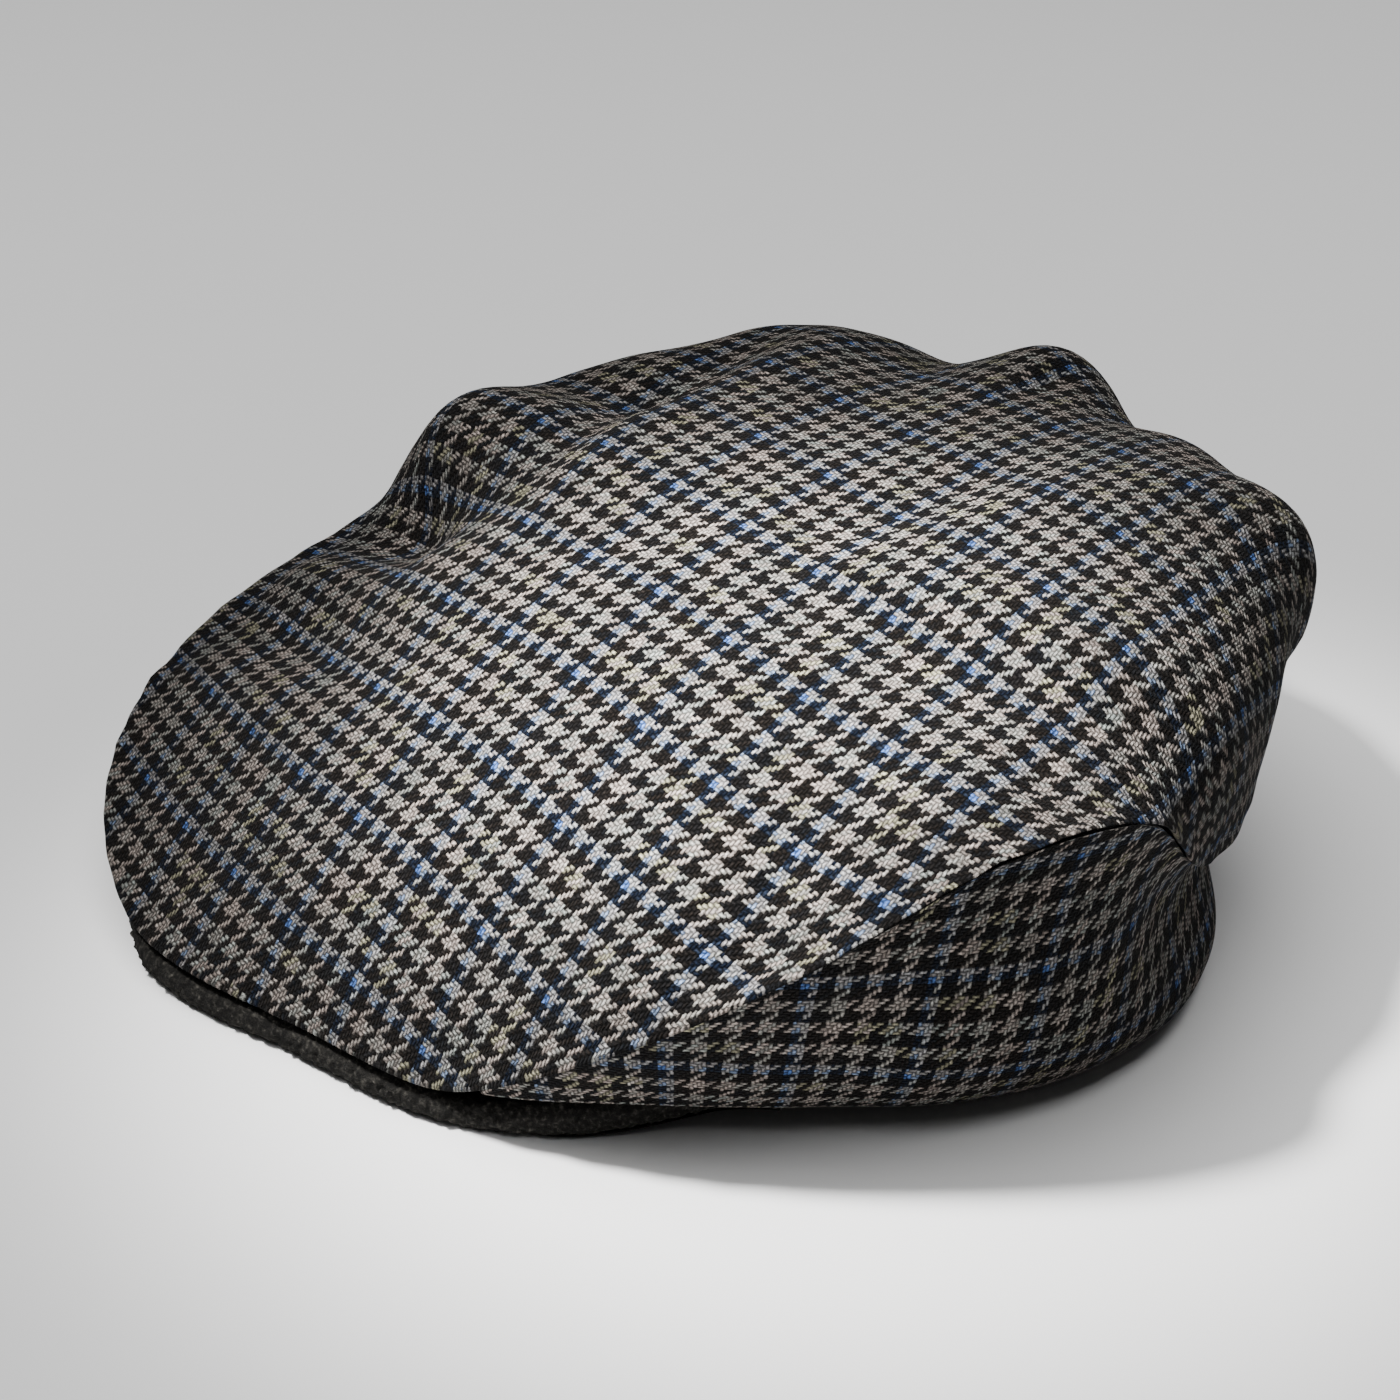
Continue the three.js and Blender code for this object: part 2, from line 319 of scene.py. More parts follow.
    def past_tip(self, turn: float) -> float:
        """Return how far a direction lies past the tip of its side panel, from 0 to 1.

        Args:
            turn: The direction.

        Returns:
            The eased share.
        """
        signed = (turn + 180) % 360 - 180
        tip = self.tip_left if signed > 0 else -self.tip_right
        return ease(abs(signed), tip, tip + self.tip_taper)

    def seam_normal(self, turn: float) -> Vector:
        """Return the direction of thickness that both panels share along their seam.

        Args:
            turn: The direction.

        Returns:
            A unit vector.
        """
        crown = self.normal(self.smooth_crown, turn, 1)
        side = self.normal(self.smooth_side, turn, 0)
        return (crown + side * self.past_tip(turn)).normalized()

    def to_frame(self, point: Vector) -> Vector:
        """Return a point of the form in the part's own frame, in metres."""
        return (point + Vector((self.shift_x, self.shift_y, 0))) * MILLIMETRE


# ---- Meshes ----


def link(name: str, data: bpy.types.ID) -> bpy.types.Object:
    """Put an object in the scene.

    Args:
        name: Its name.
        data: Its mesh, light or camera.

    Returns:
        The object.
    """
    thing = bpy.data.objects.new(name, data)
    bpy.context.scene.collection.objects.link(thing)
    return thing


@dataclass(frozen=True)
class Skin:
    """A closed cloth wall, made from a grid that is bent to shape.

    The grid's columns are directions round the cap. Its rows run along the outer face, round
    the folded edge and back along the inner face.
    """

    name: str
    columns: int
    rows: int
    inside_from: float
    place: Callable[[float, float], Vector]
    cloth: Callable[[float, float], tuple[float, float]]
    weld: float = 0.01

    def build(self, outside: Material, inside: Material) -> bpy.types.Object:
        """Make the wall as one object in the part's frame.

        Args:
            outside: The finish of the outer face and the folded edge.
            inside: The finish of the inner face.

        Returns:
            The new object, linked to the scene.
        """
        mesh = bpy.data.meshes.new(self.name)
        bm = bmesh.new()
        layer = bm.loops.layers.uv.new(CLOTH_MAP)
        bmesh.ops.create_grid(bm, x_segments=self.columns, y_segments=self.rows, size=0.5, calc_uvs=False)
        spots = {vert: (vert.co.x + 0.5, vert.co.y + 0.5) for vert in bm.verts}
        cloth = {vert: self.cloth(*spot) for vert, spot in spots.items()}
        for face in bm.faces:
            face.smooth = True
            row = sum(spots[vert][1] for vert in face.verts) / len(face.verts)
            face.material_index = int(row > self.inside_from)
            for loop in face.loops:
                loop[layer].uv = cloth[loop.vert]
        for vert, spot in spots.items():
            vert.co = FORM.to_frame(self.place(*spot))
        bmesh.ops.remove_doubles(bm, verts=bm.verts[:], dist=self.weld * MILLIMETRE)
        bmesh.ops.holes_fill(bm, edges=[edge for edge in bm.edges if edge.is_boundary], sides=0)
        bmesh.ops.recalc_face_normals(bm, faces=bm.faces[:])
        bm.to_mesh(mesh)
        bm.free()
        mesh.materials.append(outside)
        mesh.materials.append(inside)
        return link(self.name, mesh)


FORM = CapForm()


def wander(point: Vector, size: float, seed: float) -> float:
    """Return smooth noise from -1 to 1.

    Args:
        point: Where to read it, in millimetres.
        size: The size of its swellings, in millimetres.
        seed: A number that sets one pattern apart from another.

    Returns:
        The noise's value.
    """
    return noise.noise(point / size + Vector((seed, seed * 1.7, seed * 0.6)))


@dataclass(frozen=True)
class ClothLay:
    """How the woven cloth lies on a panel, counted in windows of its overcheck.

    The weave starts at an offset and leans out of square. Where it is drawn over the crown it
    fans out, bows and is drawn in towards the corners.
    """

    window: float = 27
    start_across: float = 0
    start_along: float = 0
    give: float = 1
    lean: float = 0
    fan: float = 0
    bow: float = 0
    draw: float = 0

    def map(self, across: float, along: float) -> tuple[float, float]:
        """Return the cloth's own coordinates.

        Args:
            across: The length of cloth across the panel, in millimetres.
            along: The length along it.

        Returns:
            The place in the weave, in overcheck windows.
        """
        u, v = across / self.window, along / self.window
        return (
            self.start_across + self.give * u + self.lean * v + self.fan * u * v + self.draw * u * v * v,
            self.start_along + v + self.bow * u * u + self.draw * u * u * v,
        )


class Panel:
    """What the cloth panels share: rows over the outer face, round an edge and back inside."""

    start: float
    end: float
    face_rows: int
    edge_rows: int
    inner_rows: int

    @property
    def rows(self) -> int:
        """Rows of the grid, over the outer face, the edge and the inner face."""
        return self.face_rows + self.edge_rows + self.inner_rows

    @property
    def inside_from(self) -> float:
        """The place over the grid's rows from which the inner face starts."""
        return (self.face_rows + self.edge_rows) / self.rows

    def step(self, row: float) -> int:
        """Return the number of a row of the grid."""
        return round(row * self.rows)

    def share(self, row: float) -> float:
        """Return how far along the profile a row lies.

        Args:
            row: The row's place over the grid, from 0 to 1.

        Returns:
            The place on either face, from 0 to 1, which is 1 all round the edge.
        """
        step = self.step(row)
        if step <= self.face_rows:
            return step / self.face_rows
        return 1 - max(0, step - self.face_rows - self.edge_rows) / self.inner_rows

    def wall(self, turn: float, t: float) -> tuple[Vector, Vector]:
        """Return an outer point and the direction out of the cloth; each panel has its own."""
        raise NotImplementedError

    def ahead(self, turn: float) -> Vector:
        """Return the way that the edge's rounding stands out; here it stays flat."""
        return Vector()

    def place(self, column: float, row: float) -> Vector:
        """Return the wall's point for a column and a row of the grid, each from 0 to 1.

        Args:
            column: The place round the cap.
            row: The place over the outer face, the edge and the inner face.

        Returns:
            The point, in millimetres.
        """
        turn = self.start + (self.end - self.start) * column
        outer, normal = self.wall(turn, self.share(row))
        past_face = self.step(row) - self.face_rows
        if past_face <= 0:
            return outer
        if past_face >= self.edge_rows:
            return outer - normal * FORM.cloth
        radius = FORM.cloth / 2
        angle = math.pi * past_face / self.edge_rows
        return outer - normal * radius * (1 - math.cos(angle)) + self.ahead(turn) * radius * math.sin(angle)


@dataclass(frozen=True)
class TopPanel(Panel):
    """The one-piece top panel, from its hub to the seam and the fold over the peak."""

    name: str = "top_panel"
    start: float = 0
    end: float = 360
    columns: int = 300
    face_rows: int = 96
    edge_rows: int = 6
    inner_rows: int = 30
    arc_steps: int = 96
    hem_rise: float = 0.7
    hem_width: float = 3.2
    pucker: float = 0.85
    pucker_width: float = 10
    pucker_length: float = 8
    pucker_seed: float = 8.4
    slack: float = 1.0
    slack_size: float = 28
    slack_seed: float = 3.1
    ripple: float = 0.3
    ripple_size: float = 10
    ripple_seed: float = 6.7
    seam_reach: tuple[float, float] = (0.5, 0.8)
    lay: ClothLay = ClothLay(start_across=3.55, start_along=6.1, lean=0.17, fan=0.02, bow=0.01, draw=0.01)

    def wall(self, turn: float, t: float) -> tuple[Vector, Vector]:
        """Return an outer point and the direction out of the cloth there.

        Args:
            turn: The direction.
            t: The place from the hub, 0, to the seam, 1.

        Returns:
            The point, in millimetres, and the unit normal.
        """
        at_hub = t == 0
        outer = FORM.smooth_crown(0 if at_hub else turn, t)
        normal = Vector((0, 0, 1)) if at_hub else FORM.normal(FORM.smooth_crown, turn, t)
        fade = ease(1 - t, 0, FORM.fold_fade)
        lift = sum(fold.at(outer) for fold in FOLDS + CREASES) * fade
        lift += self.slack * wander(outer, self.slack_size, self.slack_seed) * fade
        lift += self.ripple * wander(outer, self.ripple_size, self.ripple_seed) * fade
        edge = FORM.smooth_crown(turn, 1)
        from_edge = (edge - outer).length
        outer_half = ease(t, *self.seam_reach)
        hem = math.exp(-((from_edge / self.hem_width) ** 2)) * outer_half
        lift += self.hem_rise * hem
        near = math.exp(-from_edge / self.pucker_width) * outer_half
        lift += self.pucker * near * wander(edge, self.pucker_length, self.pucker_seed)
        outer = outer + normal * lift
        if t == 1:
            normal = FORM.seam_normal(turn)
        return outer, normal

    def ahead(self, turn: float) -> Vector:
        """Return the way that the edge's rounding stands out: on along the outer face."""
        before = self.wall(turn, 1 - 1 / self.face_rows)[0]
        return (self.wall(turn, 1)[0] - before).normalized()

    def arcs(self, turn: float) -> list[tuple[float, float]]:
        """Return the lengths of cloth across and along it from the hub, in steps to the seam.

        Args:
            turn: The direction.

        Returns:
            A running total of both lengths, in millimetres.
        """
        sine, cosine = math.sin(math.radians(turn)), math.cos(math.radians(turn))
        totals = [(0.0, 0.0)]
        last = FORM.crown_profile(turn, 0)
        for step in range(1, self.arc_steps + 1):
            now = FORM.crown_profile(turn, step / self.arc_steps)
            out, down = now[0] - last[0], now[1] - last[1]
            across = sine * math.hypot(out, down * sine)
            ahead = -cosine * math.hypot(out, down * cosine)
            totals.append((totals[-1][0] + across, totals[-1][1] + ahead))
            last = now
        return totals

    def build(self, outside: Material, inside: Material) -> bpy.types.Object:
        """Make the panel in place of its solid and dress it.

        Args:
            outside: The tweed of the face.
            inside: The lining.

        Returns:
            The panel.
        """
        arcs: dict[int, list[tuple[float, float]]] = {}

        def cloth(column: float, row: float) -> tuple[float, float]:
            """Return the place in the weave for a column and a row of the grid.

            Args:
                column: The place round the cap.
                row: The place over the grid's rows.

            Returns:
                The place, in overcheck windows.
            """
            index = round(column * self.columns)
            if index not in arcs:
                arcs[index] = self.arcs(column * 360)
            at = self.share(row) * self.arc_steps
            low = min(int(at), self.arc_steps - 1)
            start, end = arcs[index][low], arcs[index][low + 1]
            rest = at - low
            return self.lay.map(start[0] + (end[0] - start[0]) * rest, start[1] + (end[1] - start[1]) * rest)

        skin = Skin(self.name, self.columns, self.rows, self.inside_from, self.place, cloth)
        panel = skin.build(outside, inside)
        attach(panel, "root")
        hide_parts("crown_top")
        return panel


@dataclass(frozen=True)
class SidePanel(Panel):
    """A side panel, from the seam under the top panel to the rim."""

    name: str
    node: str
    start: float
    end: float
    columns: int = 190
    face_rows: int = 40
    edge_rows: int = 6
    inner_rows: int = 20
    tuck: float = 1.1
    inset: float = 1.3
    inset_width: float = 5
    slack: float = 0.7
    slack_size: float = 24
    slack_seed: float = 5.3
    slack_from_seam: float = 0.3
    slack_from_rim: float = 0.25
    full_slack_height: float = 30
    full_inset_height: float = 12
    middle: float = 0.6
    lay: ClothLay = ClothLay(start_across=-0.35, start_along=0.45, give=1.1, lean=-0.09)

    @property
    def rows(self) -> int:
        """Rows of the grid, over the outer face, the rim, the inner face and the sewn edge."""
        return super().rows + 1

    def step(self, row: float) -> int:
        """Return the number of a row of the grid, whose last row is sewn to its first."""
        return super().step(row) % self.rows

    def wall(self, turn: float, t: float) -> tuple[Vector, Vector]:
        """Return an outer point and the direction out of the cloth there.

        Args:
            turn: The direction.
            t: The place from the seam, 0, to the rim, 1.

        Returns:
            The point, in millimetres, and the unit normal.
        """
        outer = FORM.smooth_side(turn, t)
        top, foot = FORM.smooth_side(turn, 0), FORM.smooth_side(turn, 1)
        height = (top - foot).length
        from_seam = t * height
        share = ease(from_seam, 0, FORM.seam_ease)
        normal = FORM.seam_normal(turn).lerp(FORM.normal(FORM.smooth_side, turn, t), share).normalized()
        away = ease(t, 0, self.slack_from_seam) * ease(1 - t, 0, self.slack_from_rim)
        loose = away * min(1.0, height / self.full_slack_height)
        lift = self.slack * loose * wander(outer, self.slack_size, self.slack_seed)
        inset = self.inset * math.exp(-((from_seam / self.inset_width) ** 2))
        lift -= inset * min(1.0, height / self.full_inset_height)
        if t == 0:
            down = (FORM.smooth_side(turn, 0.5) - outer).normalized()
            outer = outer + down * self.tuck
        if t == 1:
            normal = (FORM.place(turn, 1, 0) - FORM.place(turn, 0, 0)).normalized()
        return outer + normal * lift, normal

    def build(self, outside: Material, inside: Material) -> bpy.types.Object:
        """Make the panel in place of its solid and dress it.

        Args:
            outside: The tweed of the face.
            inside: The lining.

        Returns:
            The panel.
        """
        turns = [self.start + (self.end - self.start) * k / self.columns for k in range(self.columns + 1)]
        middles = [FORM.smooth_side(turn, self.middle) for turn in turns]
        lengths = [0.0]
        for last, now in zip(middles, middles[1:]):
            lengths.append(lengths[-1] + math.hypot(now.x - last.x, now.y - last.y))
        heights = [(FORM.smooth_side(turn, 0) - FORM.smooth_side(turn, 1)).length for turn in turns]

        def cloth(column: float, row: float) -> tuple[float, float]:
            """Return the place in the weave for a column and a row of the grid."""
            index = round(column * self.columns)
            return self.lay.map(lengths[index], (1 - self.share(row)) * heights[index])

        skin = Skin(self.name, self.columns, self.rows, self.inside_from, self.place, cloth)
        panel = skin.build(outside, inside)
        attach(panel, "root")
        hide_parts(self.node)
        return panel


@dataclass(frozen=True)
class Peak:
    """The stiff peak under the front, with its lip under the folded edge of the cloth."""

    name: str = "peak_cover"
    half_turn: float = 56
    columns: int = 420
    top_rows: int = 20
    lip_rows: int = 16
    brow_half_width: float = 98
    brow_front: float = 90
    overhang: float = 1
    corner: float = 26
    corner_thickness: float = 3
    corner_tuck: float = 6
    least_depth: float = 2
    rise: float = 9
    rise_depth: float = 40
    inner_thickness: float = 5
    thickening: float = 0.5
    seat: float = 0.45
    cloth_over_lip: float = 0.85
    nap: float = 1.0
    nap_size: float = 1.3
    nap_seed: float = 1.9
    lip_share: float = 0.1

    @property
    def rows(self) -> int:
        """Rows of the grid, over the top, round the brow edge and under."""
        return 2 * self.top_rows + self.lip_rows

    def place(self, column: float, row: float) -> Vector:
        """Return a point of the peak for a column and a row of the grid, each from 0 to 1.

        Args:
            column: The place from corner to corner.
            row: The place over the top, round the brow edge and under.

        Returns:
            The point, in millimetres.
        """
        turn = (2 * column - 1) * self.half_turn
        angle = math.radians(turn)
        brow = 1 / math.hypot(math.sin(angle) / self.brow_half_width, math.cos(angle) / self.brow_front)
        corner = ease(abs(turn), self.half_turn - self.corner, self.half_turn)
        foot = FORM.along(Line.FOOT, turn)
        corner_lip = max(brow + self.least_depth, foot - self.corner_tuck)
        lip = foot + self.overhang + (corner_lip - foot - self.overhang) * corner
        under = self.seat + FORM.cloth * self.cloth_over_lip * (1 - FORM.past_tip(turn))
        lip_top = FORM.foot_height(turn) - under
        rise = self.rise * ease(lip - brow, 0, self.rise_depth)
        step = round(row * self.rows)
        half_lip = self.lip_rows / 2
        if step < half_lip:
            inward, side = 0.0, math.pi / 2 * (1 - step / half_lip)
        elif step <= half_lip + self.top_rows:
            inward, side = (step - half_lip) / self.top_rows, 0.0
        elif step < self.rows - half_lip:
            inward, side = 1 - (step - half_lip - self.top_rows) / self.top_rows, math.pi
        else:
            inward, side = 0.0, math.pi / 2 * (1 + (self.rows - step) / half_lip)
        upper = rise * inward + lip_top + (self.inner_thickness - lip_top) * ease(inward, 0, self.thickening)
        lower = rise * inward + (lip_top - self.corner_thickness - rise * inward) * corner
        centre, half = (upper + lower) / 2, (upper - lower) / 2
        reach = lip + (brow - lip) * inward
        at_lip = 1 - ease(inward, 0, self.lip_share)
        rounding = half * (1 - math.sin(side)) * at_lip
        point = FORM.place(turn, reach - rounding, centre + half * math.cos(side))
        outwards = (FORM.place(turn, 1, 0) - FORM.place(turn, 0, 0)) * self.nap
        return point + outwards * wander(point, self.nap_size, self.nap_seed) * at_lip

    def build(self, cover: Material) -> bpy.types.Object:
        """Make the peak's cover in place of its solid and dress it.

        Args:
            cover: The peak's cloth, painted near-black as painted shade.

        Returns:
            The peak.
        """

        def cloth(column: float, row: float) -> tuple[float, float]:
            """Return the place in the weave for a column and a row of the grid."""
            point = self.place(column, row)
            return point.x / ClothLay.window, (point.y + point.z) / ClothLay.window

        skin = Skin(self.name, self.columns, self.rows, math.inf, self.place, cloth)
        piece = skin.build(cover, cover)
        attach(piece, "root")
        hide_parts("peak")
        return piece


# ---- Finishes ----

Colour = tuple[float, float, float, float]


class Op(Enum):
    """An operation of a Math node."""

    ADD = "ADD"
    SUBTRACT = "SUBTRACT"
    MULTIPLY = "MULTIPLY"
    DIVIDE = "DIVIDE"
    FLOOR = "FLOOR"
    FRACTION = "FRACT"
    FLOORED_MODULO = "FLOORED_MODULO"
    LESS = "LESS_THAN"
    GREATER = "GREATER_THAN"
    POWER = "POWER"
    SINE = "SINE"
    MAXIMUM = "MAXIMUM"


Socket = bpy.types.NodeSocket
Value = Socket | float
Feeds = dict[int | str, Value | tuple[float, ...]]


class Network:
    """A material's node network, with a short method for each kind of node it uses."""

    def __init__(self, name: str) -> None:
        """Start a material with a shader and an output.

        Args:
            name: The material's name.
        """
        self.material = bpy.data.materials.new(name)
        self.material.use_nodes = True
        self.tree = self.material.node_tree
        self.tree.nodes.clear()
        self.shader = self.add("ShaderNodeBsdfPrincipled")
        self.add("ShaderNodeOutputMaterial", {"Surface": self.shader.outputs["BSDF"]})

    def feed(self, node: bpy.types.Node, feeds: Feeds) -> None:
        """Feed a node's inputs.

        Args:
            node: The node.
            feeds: An output to link or a value to set, for each input's name or number.
        """
        for name, value in feeds.items():
            if isinstance(value, Socket):
                self.tree.links.new(value, node.inputs[name])
            else:
                node.inputs[name].default_value = value

    def add(self, kind: str, feeds: Feeds | None = None, **settings: str | bool) -> bpy.types.Node:
        """Add a node.

        Args:
            kind: The node's type.
            feeds: What to feed its inputs, as for feed.
            settings: The node's own settings.

        Returns:
            The node.
        """
        node = self.tree.nodes.new(kind)
        for name, setting in settings.items():
            setattr(node, name, setting)
        self.feed(node, feeds or {})
        return node

    def maths(self, op: Op, a: Value, b: Value = 0.0, clamp: bool = False) -> Socket:
        """Return the result of a Math node, kept from 0 to 1 where clamp is set."""
        return self.add("ShaderNodeMath", {0: a, 1: b}, operation=op.value, use_clamp=clamp).outputs[0]

    def mix(self, share: Value, a: Value | Colour, b: Value | Colour) -> Socket:
        """Return the colour a with a share of the colour b."""
        return self.add("ShaderNodeMix", {"Factor": share, 6: a, 7: b}, data_type="RGBA").outputs[2]

    def blend(self, share: Value, a: Value, b: Value) -> Socket:
        """Return the number a with a share of the number b."""
        return self.add("ShaderNodeMix", {"Factor": share, 2: a, 3: b}, data_type="FLOAT").outputs[0]

    def tint(self, colour: Value | Colour, brightness: Value) -> Socket:
        """Return a colour made lighter or darker."""
        base = colour if isinstance(colour, Socket) else colour[:3]
        return self.add("ShaderNodeVectorMath", {0: base, "Scale": brightness}, operation="SCALE").outputs[0]

    def split(self, vector: Socket) -> list[Socket]:
        """Return a vector's three numbers."""
        return list(self.add("ShaderNodeSeparateXYZ", {0: vector}).outputs)

    def random(self, *numbers: Value) -> Socket:
        """Return a random number from 0 to 1, always the same for the same two or three numbers."""
        vector = self.add("ShaderNodeCombineXYZ", dict(enumerate(numbers))).outputs[0]
        return self.add("ShaderNodeTexWhiteNoise", {"Vector": vector}, noise_dimensions="3D").outputs["Value"]

    def clouds(self, vector: Socket, scale: float, detail: float = 2.0) -> Socket:
        """Return smooth noise, from about 0 to 1, by its swellings in a metre and its finer layers."""
        feeds = {"Vector": vector, "Scale": scale, "Detail": detail}
        return self.add("ShaderNodeTexNoise", feeds, noise_dimensions="3D").outputs["Fac"]

    def place(self) -> Socket:
        """Return the object's own coordinates, in metres."""
        return self.add("ShaderNodeTexCoord").outputs["Object"]

    def cloth(self) -> Socket:
        """Return the cloth's own coordinates."""
        return self.add("ShaderNodeUVMap", uv_map=CLOTH_MAP).outputs["UV"]

    def finish(self, feeds: Feeds, relief: Socket, depth: float, strength: float) -> None:
        """Feed the shader and give the surface fine relief.

        Args:
            feeds: What to feed the shader's inputs.
            relief: The height of the relief, from about 0 to 1.
            depth: Its depth in metres.
            strength: How strongly it shows.
        """
        bump = self.add("ShaderNodeBump", {"Strength": strength, "Distance": depth, "Height": relief})
        self.feed(self.shader, feeds | {"Normal": bump.outputs["Normal"]})


@dataclass(frozen=True)
class Tweed:
    """Houndstooth tweed: a two-and-two twill of dark and light yarns with a blue overcheck.

    Four dark threads and four light ones alternate both ways. Two threads of each overcheck
    window are dyed blue, and look clear blue only where they cross each other.
    """

    name: str
    rosy: Colour = (0.33, 0.272, 0.242, 1)
    ashen: Colour = (0.215, 0.24, 0.225, 1)
    straw: Colour = (0.25, 0.235, 0.165, 1)
    haze: Colour = (0.245, 0.25, 0.265, 1)
    brown: Colour = (0.0085, 0.0065, 0.0052, 1)
    slate: Colour = (0.0036, 0.0046, 0.0062, 1)
    navy: Colour = (0.003, 0.006, 0.014, 1)
    dusk_blue: Colour = (0.009, 0.013, 0.023, 1)
    pale_blue: Colour = (0.15, 0.20, 0.30, 1)
    clear_blue: Colour = (0.07, 0.14, 0.36, 1)
    threads: int = 32
    group: int = 4
    blue_threads: int = 2
    # Painted light: a painted pool of light lightens the pale yarns round the middle point, and painted shade
    # darkens them away from it; the dark yarns keep a share of their own colour
    painted_light_level: float = 1.2
    painted_shade_level: float = 0.42
    middle: tuple[float, float, float] = (0.03, -0.028, 0.085)
    painted_shade_from: float = 0.045
    painted_shade_to: float = 0.122
    dark_keeps: float = 0.6
    own_share: float = 0.3
    cool_power: float = 1.5
    straw_from: float = 0.9
    haze_share: float = 0.65
    navy_share: float = 0.8
    by_yarn: tuple[float, float] = (0.75, 1.2)
    by_tooth: tuple[float, float] = (0.85, 1.2)
    warp_seed: float = 23
    weft_seed: float = 11
    # Painted yarn shading: the colour's range from painted shade in the gaps between yarns to painted
    # highlight on their crowns
    painted_yarn_shading: tuple[float, float] = (0.2, 1.5)
    # Random fibre tone with painted highlights: fine glints up to three times the yarn's colour
    fibre_tone_and_glint: tuple[float, float] = (0.4, 3.0)
    wear: tuple[float, float] = (0.85, 1.15)
    fibre_glint_scale: float = 1400
    wear_scale: float = 38
    fuzz: float = 0.7
    fuzz_scale: float = 3000
    roughness: float = 0.92
    specular: float = 0.05
    sheen: float = 0.012
    sheen_roughness: float = 0.5
    relief: float = 0.9
    yarn_depth: float = 0.0006
    sway: float = 0.5
    sway_scale: float = 420
    fray: float = 0.85
    fray_scale: float = 1700

    def yarns(self, net: Network) -> tuple[Socket, Socket]:
        """Return the places across the warp and the weft, in threads, with their sway and fray.

        Args:
            net: The network to add to.

        Returns:
            Both places.
        """
        u, v, _ = net.split(net.cloth())
        place = net.place()
        sway = net.maths(Op.SUBTRACT, net.clouds(place, self.sway_scale, detail=1), 0.5)
        sway = net.maths(Op.MULTIPLY, sway, self.sway)
        fray = net.maths(Op.SUBTRACT, net.clouds(place, self.fray_scale, detail=2), 0.5)
        fray = net.maths(Op.MULTIPLY, fray, self.fray)
        warp = net.maths(Op.ADD, net.maths(Op.MULTIPLY, u, self.threads), net.maths(Op.ADD, sway, fray))
        weft = net.maths(Op.ADD, net.maths(Op.MULTIPLY, v, self.threads), net.maths(Op.SUBTRACT, fray, sway))
        return warp, weft

    def within(
        self, net: Network, thread: Value, period: float, start: float, end: float
    ) -> Socket:
        """Return 1 where a thread's number, counted within a period, lies from start to before end.

        Args:
            net: The network to add to.
            thread: The number of the thread.
            period: How many threads the pattern repeats after.
            start: The first number that counts.
            end: The first number past it.

        Returns:
            1 or 0.
        """
        number = net.maths(Op.FLOORED_MODULO, thread, period)
        past = net.maths(Op.GREATER, number, start - 0.5)
        return net.maths(Op.MULTIPLY, past, net.maths(Op.LESS, number, end - 0.5))

    def colouring(
        self, net: Network, thread: Value, other: Value, seed: float, brightness: Value
    ) -> Socket:
        """Return the colour of one set of yarns.

        Args:
            net: The network to add to.
            thread: The number of the yarn.
            other: The number of the yarn that it crosses.
            seed: A number that sets the warp apart from the weft.
            brightness: The painted light here, by which the yarns are lightened by the painted pool of light
                or darkened by painted shade.

        Returns:
            The colour.
        """
        pair = 2 * self.group
        lit = self.within(net, thread, pair, self.group, pair)
        dyed = self.within(net, thread, self.threads, self.group, self.group + self.blue_threads)
        crossed = self.within(net, other, self.threads, self.group, self.group + self.blue_threads)
        flanking = self.within(net, thread, self.threads, self.group, pair)
        beside = self.within(net, other, self.threads, self.group, pair)
        tooth = [net.maths(Op.FLOOR, net.maths(Op.DIVIDE, number, pair)) for number in (thread, other)]
        star = net.random(*tooth, seed)
        own = net.random(thread, seed + 0.5)
        cool = net.maths(Op.POWER, net.blend(self.own_share, star, own), self.cool_power)
        pale = net.mix(cool, self.rosy, self.ashen)
        pale = net.mix(net.maths(Op.GREATER, net.random(*tooth, seed + 4), self.straw_from), pale, self.straw)
        hazy = net.maths(Op.MULTIPLY, net.maths(Op.MAXIMUM, flanking, beside), self.haze_share)
        pale = net.mix(hazy, pale, self.haze)
        deep = net.mix(cool, self.brown, self.slate)
        deep = net.mix(net.maths(Op.MULTIPLY, beside, self.navy_share), deep, self.navy)
        blue = net.mix(self.within(net, other, pair, self.group, pair), self.dusk_blue, self.pale_blue)
        blue = net.mix(crossed, blue, self.clear_blue)
        # Painted light and painted shade on the dark yarns, which keep a share of their own colour
        deep = net.tint(deep, net.blend(self.dark_keeps, brightness, 1.0))
        undyed = net.mix(lit, deep, net.tint(pale, brightness))
        coloured = net.mix(dyed, undyed, net.tint(blue, brightness))
        by_yarn = net.blend(own, *self.by_yarn)
        by_tooth = net.blend(net.random(*tooth, seed + 8), *self.by_tooth)
        return net.tint(coloured, net.maths(Op.MULTIPLY, by_yarn, by_tooth))

    def brightness(self, net: Network) -> Socket:
        """Return the painted light of the pale yarns: a painted pool of light at the crown's middle, with
        painted shade away from it.

        Args:
            net: The network to add to.

        Returns:
            The painted light, as a factor on the yarns' colour.
        """
        points = {0: net.place(), 1: self.middle}
        away = net.add("ShaderNodeVectorMath", points, operation="DISTANCE").outputs["Value"]
        ranges = dict(enumerate((away, self.painted_shade_from, self.painted_shade_to, self.painted_light_level, self.painted_shade_level)))
        return net.add("ShaderNodeMapRange", ranges, interpolation_type="SMOOTHSTEP").outputs["Result"]

    def material(self) -> Material:
        """Make the finish.

        Returns:
            The material.
        """
        net = Network(self.name)
        u, v = self.yarns(net)
        warp, weft = net.maths(Op.FLOOR, u), net.maths(Op.FLOOR, v)
        warp_side, weft_side = net.maths(Op.FRACTION, u), net.maths(Op.FRACTION, v)
        phase = net.maths(Op.FLOORED_MODULO, net.maths(Op.SUBTRACT, warp, weft), 4)
        warp_up = net.maths(Op.LESS, phase, 1.5)
